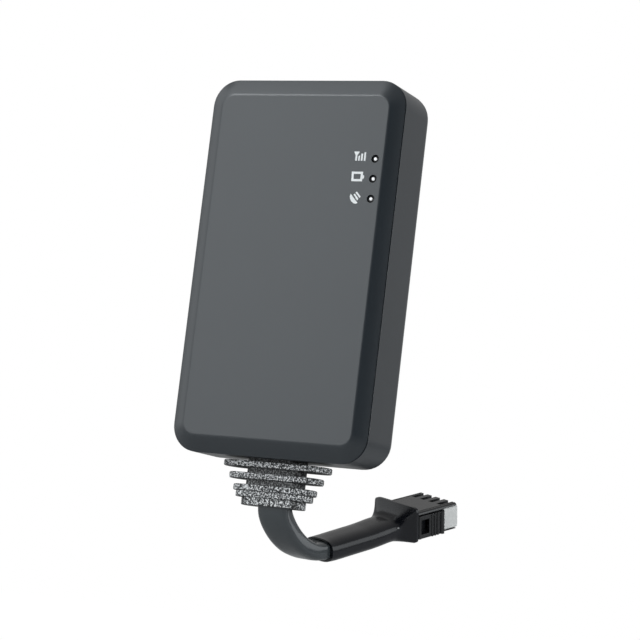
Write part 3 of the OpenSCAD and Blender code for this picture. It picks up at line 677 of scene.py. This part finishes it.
def makeFrontCover(settings):
    bm = mergedCopy("front_cover")
    rim = faceRim(bm, settings)
    easeEdges(bm, rim, settings["faceEase"], settings["segments"])
    seamRim = outerRim(bm, settings["frontRimY"], settings)
    easeEdges(bm, seamRim, settings["gapEase"], settings["segments"])
    cover = finishPiece(bm, "frontCoverShell", ["casePlastic"])
    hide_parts("front_cover")
    print("front cover made, rim edges:", len(rim))


def makeRearCover(settings):
    bm = mergedCopy("rear_cover")
    grooveFront, grooveRear = settings["grooveY"]
    for vert in bm.verts:
        offset, outward = outlineOffset(vert.co, settings)
        inGroove = grooveFront * mm < vert.co.y < grooveRear * mm
        if inGroove and abs(offset + settings["grooveIn"] * mm) < settings["outline"] * mm:
            vert.co -= outward * settings["grooveDeeper"] * mm
    # The lip's faces in the seam get the painted shade
    for face in bm.faces:
        middle = face.calc_center_median()
        inLip = outlineOffset(middle, settings)[0] > -settings["lip"] * mm
        if middle.y < settings["lipY"] * mm and inLip:
            face.material_index = 1
    seamRim = outerRim(bm, settings["rearRimY"], settings)
    easeEdges(bm, seamRim, settings["seamEase"], settings["segments"])
    cover = finishPiece(bm, "rearCoverShell", ["casePlastic", "seamPaintedShade"])
    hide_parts("rear_cover")
    print("rear cover made")


makeFrontCover(coverSettings)
makeRearCover(coverSettings)

# Strain relief: the same levels as the solid in one closed skin, with rounder edges, in mm
reliefSettings = {
    "back": 8.7, "easeSteps": 4, "sides": 48,
    "levels": [                            # top, bottom, width, depth, corner, eased edge
        (-36.9, -38.2, 16, 7.8, 1.4, 0.2), (-38.2, -40, 13, 6.6, 0.1, 0),
        (-40, -40.65, 13.1, 5.4, 2.48, 0), (-40.65, -41.95, 24.235, 7.614, 3.5, 0.3),
        (-41.95, -43.1, 13.1, 5.4, 2.48, 0), (-43.1, -44.4, 21.222, 6.804, 3.13, 0.3),
        (-44.4, -45.55, 13.1, 5.4, 2.48, 0), (-45.55, -46.85, 18.733, 6.318, 2.91, 0.3),
        (-46.85, -48.15, 17.292, 6.048, 2.78, 0.25), (-48.15, -49.8, 14.279, 5.832, 2.68, 0.25),
    ],
    "stem": 13.15, "stemDepth": 5.45,      # what lies within these gets painted shade
    "levelShare": 0.7,                     # how far up or down a face looks to get painted shade
}


def reliefRings(settings, top, bottom, width, depth, corner, ease):
    steps = settings["easeSteps"] if ease else 0
    upper, lower = [], []
    for i in range(steps + 1):
        angle = math.radians(90) * i / steps if ease else 0
        inset = ease * (1 - math.sin(angle))
        drop = ease * (1 - math.cos(angle))
        ring = (settings["back"], width - 2 * inset, depth - 2 * inset, corner - inset)
        upper.append((top - drop, *ring))
        lower.append((bottom + drop, *ring))
    return upper + lower[::-1]


# Painted shade: the stem between the flanges and the faces that look up or down get the darker copy of
# the rubber
def paintShadeOnHollows(bm, settings):
    for face in bm.faces:
        middle = face.calc_center_median()
        inStem = (abs(middle.x) <= settings["stem"] / 2 * mm
                  and abs(middle.y + settings["back"] * mm) < settings["stemDepth"] / 2 * mm)
        if inStem or abs(face.normal.z) > settings["levelShare"]:
            face.material_index = 1


def makeStrainRelief(settings):
    rings = [ring for level in settings["levels"] for ring in reliefRings(settings, *level)]
    bm = sweepRings(rings, settings["sides"], cornerRing)
    bmesh.ops.holes_fill(bm, edges=bm.edges, sides=0)
    bmesh.ops.recalc_face_normals(bm, faces=bm.faces)
    paintShadeOnHollows(bm, settings)
    relief = finishPiece(bm, "strainRelief", ["reliefRubber", "reliefPaintedShade"])
    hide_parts("strain_relief")
    print("strain relief made")


makeStrainRelief(reliefSettings)

# Status windows: a black ring, partly black surface and partly painted shade of the hole, round a small
# domed lens with a faint painted glow, on a clear pipe with a flange, in mm
windowSettings = {
    "lens": 0.34, "dome": 0.24, "sides": 40,
    "domeSteps": [(0.5, 0.02), (0.85, 0.07), (1, 0.14)],    # share of the radius, and drop
    "flangeOut": 0.45, "flangeBack": 1.2, "flangeThick": 0.8, "tipEase": 0.05, "merge": 0.001,
    "lensRoomShare": 1.01, "ringEnd": 0.1,
}


# Half of the pipe's section: radius and height, from the lens to the rear end
def windowProfile(low, high, settings):
    lens, ease = settings["lens"] * mm, settings["tipEase"] * mm
    top = low.y - settings["dome"] * mm
    flange = (high.x - low.x) / 2
    rod = flange - settings["flangeOut"] * mm
    flangeFront = low.y + settings["flangeBack"] * mm
    flangeRear = flangeFront + settings["flangeThick"] * mm
    dome = [(lens * share, top + drop * mm) for share, drop in settings["domeSteps"]]
    return [
        (0, top), *dome, (lens, low.y), (rod - ease, low.y), (rod, low.y + ease),
        (rod, flangeFront), (flange, flangeFront), (flange, flangeRear),
        (rod, flangeRear), (rod, high.y), (0, high.y),
    ]


# Faces at the lens get the white with painted glow, the rest of the front the black with painted shade
def paintWindow(bm, centre, ringEnd, settings):
    lensReach = settings["lens"] * settings["lensRoomShare"] * mm
    for face in bm.faces:
        middle = face.calc_center_median()
        radius = math.hypot(middle.x - centre.x, middle.z - centre.z)
        if middle.y < ringEnd:
            face.material_index = 1 if radius < lensReach else 2


def makeWindow(number, settings):
    nodeName = f"light_pipe_{number}"
    low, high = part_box(nodeName)
    centre = (low + high) / 2
    bm = bmesh.new()
    verts = [bm.verts.new((centre.x + r, y, centre.z)) for r, y in windowProfile(low, high, settings)]
    edges = [bm.edges.new(pair) for pair in zip(verts, verts[1:])]
    bmesh.ops.spin(bm, geom=verts + edges, cent=centre, axis=(0, 1, 0), dvec=(0, 0, 0),
                   angle=2 * math.pi, steps=settings["sides"], use_merge=True)
    bmesh.ops.remove_doubles(bm, verts=bm.verts, dist=settings["merge"] * mm)
    bmesh.ops.recalc_face_normals(bm, faces=bm.faces)
    paintWindow(bm, centre, low.y + (settings["flangeBack"] - settings["ringEnd"]) * mm, settings)
    pipe = finishPiece(bm, f"lightPipe{number}", ["clearPlastic", "lensWhitePaintedGlow", "windowBlackPaintedShade"])
    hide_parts(nodeName)


for number in (1, 2, 3):
    makeWindow(number, windowSettings)
print("status windows made")

# Status icons printed beside the windows: signal, battery and satellite, in mm on the flat face
iconSettings = {
    "thick": 0.012, "rounding": 0.05, "roundSteps": 3, "batteryStroke": 0.48,
    "signal": [
        [(12.86, 24.57), (14.01, 24.57), (14.01, 24.4), (13.62, 23.8), (13.62, 22.63), (13.2, 22.63),
         (13.2, 23.8), (12.86, 24.4)],
        [(13.88, 22.63), (13.88, 23.6), (14.22, 23.77), (14.22, 22.63)],
        [(14.48, 22.63), (14.48, 24.15), (14.88, 24.15), (14.88, 22.63)],
        [(15.15, 22.63), (15.15, 24.45), (15.55, 24.45), (15.55, 22.63)],
    ],
    "battery": [
        [(12.78, 20.32), (15.38, 20.32), (15.32, 18.28), (12.88, 18.28)],
        [(15.34, 19.75), (15.68, 19.5), (15.66, 18.95), (15.3, 18.7)],
    ],
    "satellite": [
        [(13.1, 15.64), (14.9, 13.72), (14.45, 13.58), (13.95, 13.66), (13.45, 14.02), (13.1, 14.5),
         (12.96, 15.05)],
        [(13.75, 15.5), (14.03, 15.7), (14.98, 14.62), (14.74, 14.26)],
        [(14.15, 15.92), (14.44, 16.14), (15.43, 15.12), (15.2, 14.78)],
    ],
}


# Leaves the largest face as a frame of one stroke's width
def openFrame(bm, stroke):
    bm.normal_update()
    outer = [max(bm.faces, key=lambda face: face.calc_area())]
    bmesh.ops.inset_individual(bm, faces=outer, thickness=stroke * mm, use_even_offset=True)
    bmesh.ops.delete(bm, geom=outer, context="FACES")


def makeIcon(name, settings):
    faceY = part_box("front_cover")[0].y
    bm = bmesh.new()
    for shape in settings[name]:
        corners = [bm.verts.new((x * mm, faceY, z * mm)) for x, z in shape]
        bm.faces.new(corners)
        if name != "battery":
            bmesh.ops.bevel(bm, geom=corners, offset=settings["rounding"] * mm,
                            segments=settings["roundSteps"], profile=0.5, affect="VERTICES",
                            clamp_overlap=True, material=-1)
    if name == "battery":
        openFrame(bm, settings["batteryStroke"])
    raised = bmesh.ops.extrude_face_region(bm, geom=bm.faces[:], use_keep_orig=True)["geom"]
    lifted = [g for g in raised if isinstance(g, bmesh.types.BMVert)]
    bmesh.ops.translate(bm, vec=(0, -settings["thick"] * mm, 0), verts=lifted)
    bmesh.ops.recalc_face_normals(bm, faces=bm.faces)
    finishPiece(bm, f"{name}Icon", ["whiteInk"])


for name in ("signal", "battery", "satellite"):
    makeIcon(name, iconSettings)
print("icons printed")

# Plug: the CAD's own forms with eased edges
plugSettings = {                           # piece, finish, slot, body, eased edge in mm
    "plug_housing": ("plugHousing", "plugBlack", "plug_black", "root", 0.12),
    "plug_insert": ("plugInsert", "plugGrey", "plug_grey", "root", 0.1),
    "plug_latch_right": ("plugLatchRight", "plugBlack", "plug_black", "latch_right", 0.08),
    "plug_latch_left": ("plugLatchLeft", "plugBlack", "plug_black", "latch_left", 0.08),
}
plugEase = {"segments": 2, "angle": 40}    # degrees


def makePlugPiece(nodeName, pieceName, finish, slotName, body, ease):
    bm = mergedCopy(nodeName)
    piece = finishPiece(bm, pieceName, [finish], body)
    rounding = piece.modifiers.new("ease", "BEVEL")
    rounding.width = ease * mm
    rounding.segments = plugEase["segments"]
    rounding.limit_method = "ANGLE"
    rounding.angle_limit = math.radians(plugEase["angle"])
    piece.modifiers.move(1, 0)
    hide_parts(nodeName)
    return piece


plugPieces = [makePlugPiece(node, *settings) for node, settings in plugSettings.items()]
print("plug made")

# Every CAD node gets its finish, also those that a piece stands in for
nodeFinishes = {
    "case_seal": "sealRubber", "case_screws": "screwSteel", "main_board": "boardGreen",
    "board_screws": "screwSteel", "cellular_module": "boardGreen", "module_shield": "shieldMetal",
    "cellular_antenna": "antennaCopper", "patch_antenna": "patchCeramic",
    "patch_electrode": "shieldMetal", "satellite_receiver": "shieldMetal",
    "status_leds": "clearPlastic", "sim_holder": "shieldMetal", "sim_card": "cardPlastic",
    "power_inductor": "chipBlack", "power_chip": "chipBlack", "motion_sensor": "chipBlack",
    "supply_capacitors": "capacitorYellow", "battery_cell": "cellFoil", "battery_pad": "padFoam",
    "battery_socket": "connectorWhite", "battery_plug": "connectorWhite",
    "battery_wires": "wireJacket", "board_socket": "connectorWhite",
    "inner_plug": "innerPlugBlack", "inner_wires": "wireJacket", "plug_contacts": "contactGold",
    "front_cover": "casePlastic", "rear_cover": "casePlastic", "strain_relief": "reliefRubber",
    "lead_cable": "leadJacket", "lead_sleeve": "sleeveSkin", "plug_housing": "plugBlack",
    "plug_insert": "plugGrey", "plug_latch_right": "plugBlack", "plug_latch_left": "plugBlack",
    "light_pipe_1": "clearPlastic", "light_pipe_2": "clearPlastic", "light_pipe_3": "clearPlastic",
}
for nodeName, finish in nodeFinishes.items():
    slots = nodes[nodeName].data.materials
    slots.clear()
    slots.append(finishes[finish])
print("CAD nodes finished:", len(nodeFinishes))


# Pale floor, far enough below to be a backdrop too: size and place in metres
floorSettings = {
    "below": 0.2, "size": 60, "rough": 0.9, "shade": (0.6, 0.6, 0.6, 1),
    "seen": 0.92, "mirrored": 0.2,         # its own glow for the camera and in reflections
}


def whiteStage(settings):
    material, tree, shader = newMaterial("paleFloor", {
        "Roughness": settings["rough"], "Base Color": settings["shade"],
        "Emission Color": (1, 1, 1, 1)})[:3]
    rays = tree.nodes.new("ShaderNodeLightPath")
    seen = valueRange(tree, rays.outputs["Is Camera Ray"], 0, settings["seen"])
    mirrored = valueRange(tree, rays.outputs["Is Glossy Ray"], 0, settings["mirrored"])
    glow = mathNode(tree, "ADD", seen, mirrored)
    tree.links.new(glow, shader.inputs["Emission Strength"])
    return material


def makeFloor(settings):
    bm = bmesh.new()
    bmesh.ops.create_grid(bm, x_segments=1, y_segments=1, size=settings["size"] / 2)
    bmesh.ops.translate(bm, vec=(0, 0, -settings["below"]), verts=bm.verts)
    mesh = bpy.data.meshes.new("paleFloor")
    bm.to_mesh(mesh)
    bm.free()
    floor = bpy.data.objects.new("paleFloor", mesh)
    mesh.materials.append(whiteStage(settings))
    scene.collection.objects.link(floor)


makeFloor(floorSettings)

# Soft studio light: place, aim, size in metres and power in watts
lightSettings = {
    "keyPanel": ((-1.05, -0.48, 0.35), (0, 0, 0), 1.1, 5),
    "frontPanel": ((-0.5, -1, 0.15), (0, 0, 0), 0.52, 2.75),
    "rimLamp": ((-0.5, -0.8, 0.55), (0, 0, 0), 0.17, 2.4),
    "topPanel": ((-0.5, -0.5, 0.88), (0, 0, 0), 0.55, 2.2),
    "rightPanel": ((0.94, -0.36, 0.05), (0, 0, 0), 0.22, 3.2),
    "sidePanel": ((1, 0.3, 0.35), (0, 0, 0), 0.8, 4),
}
coolWhite = (0.93, 0.975, 1)


def makeLights(settings):
    for name, (place, aim, size, power) in settings.items():
        data = bpy.data.lights.new(name, "AREA")
        data.size = size
        data.energy = power
        data.color = coolWhite
        light = bpy.data.objects.new(name, data)
        light.location = place
        light.rotation_euler = (Vector(aim) - Vector(place)).to_track_quat("-Z", "Y").to_euler()
        scene.collection.objects.link(light)


# White room with an unlit corner in front, a little to the right, which the dark bevel mirrors.
# The edge gives the cosines at which the corner starts and is fully dark; the fill lights matt
# surfaces, and the camera sees the room white
worldSettings = {
    "darkCorner": (0.2, -0.97, -0.1), "edge": (0.67, 0.93), "dark": 0,
    "fill": 0.08, "mirrored": 0.5,
}


def makeWorld(settings):
    world = bpy.data.worlds.new("studio")
    scene.world = world
    world.use_nodes = True
    tree = world.node_tree
    background = tree.nodes["Background"]
    place = tree.nodes.new("ShaderNodeTexCoord")
    towards = tree.nodes.new("ShaderNodeVectorMath")
    towards.operation = "DOT_PRODUCT"
    towards.inputs[1].default_value = settings["darkCorner"]
    tree.links.new(place.outputs["Generated"], towards.inputs[0])
    room = valueRange(tree, towards.outputs["Value"], 1, settings["dark"], *settings["edge"])
    rays = tree.nodes.new("ShaderNodeLightPath")
    level = valueRange(tree, rays.outputs["Is Glossy Ray"], settings["fill"], settings["mirrored"])
    strength = mathNode(tree, "MULTIPLY", room, level)
    for kind in ("Is Camera Ray", "Is Transmission Ray"):
        strength = mathNode(tree, "MAXIMUM", strength, rays.outputs[kind])
    tree.links.new(strength, background.inputs["Strength"])
    background.inputs["Color"].default_value = (1, 1, 1, 1)


makeLights(lightSettings)
makeWorld(worldSettings)
scene.view_settings.view_transform = "Standard"
print("stage and lights made")
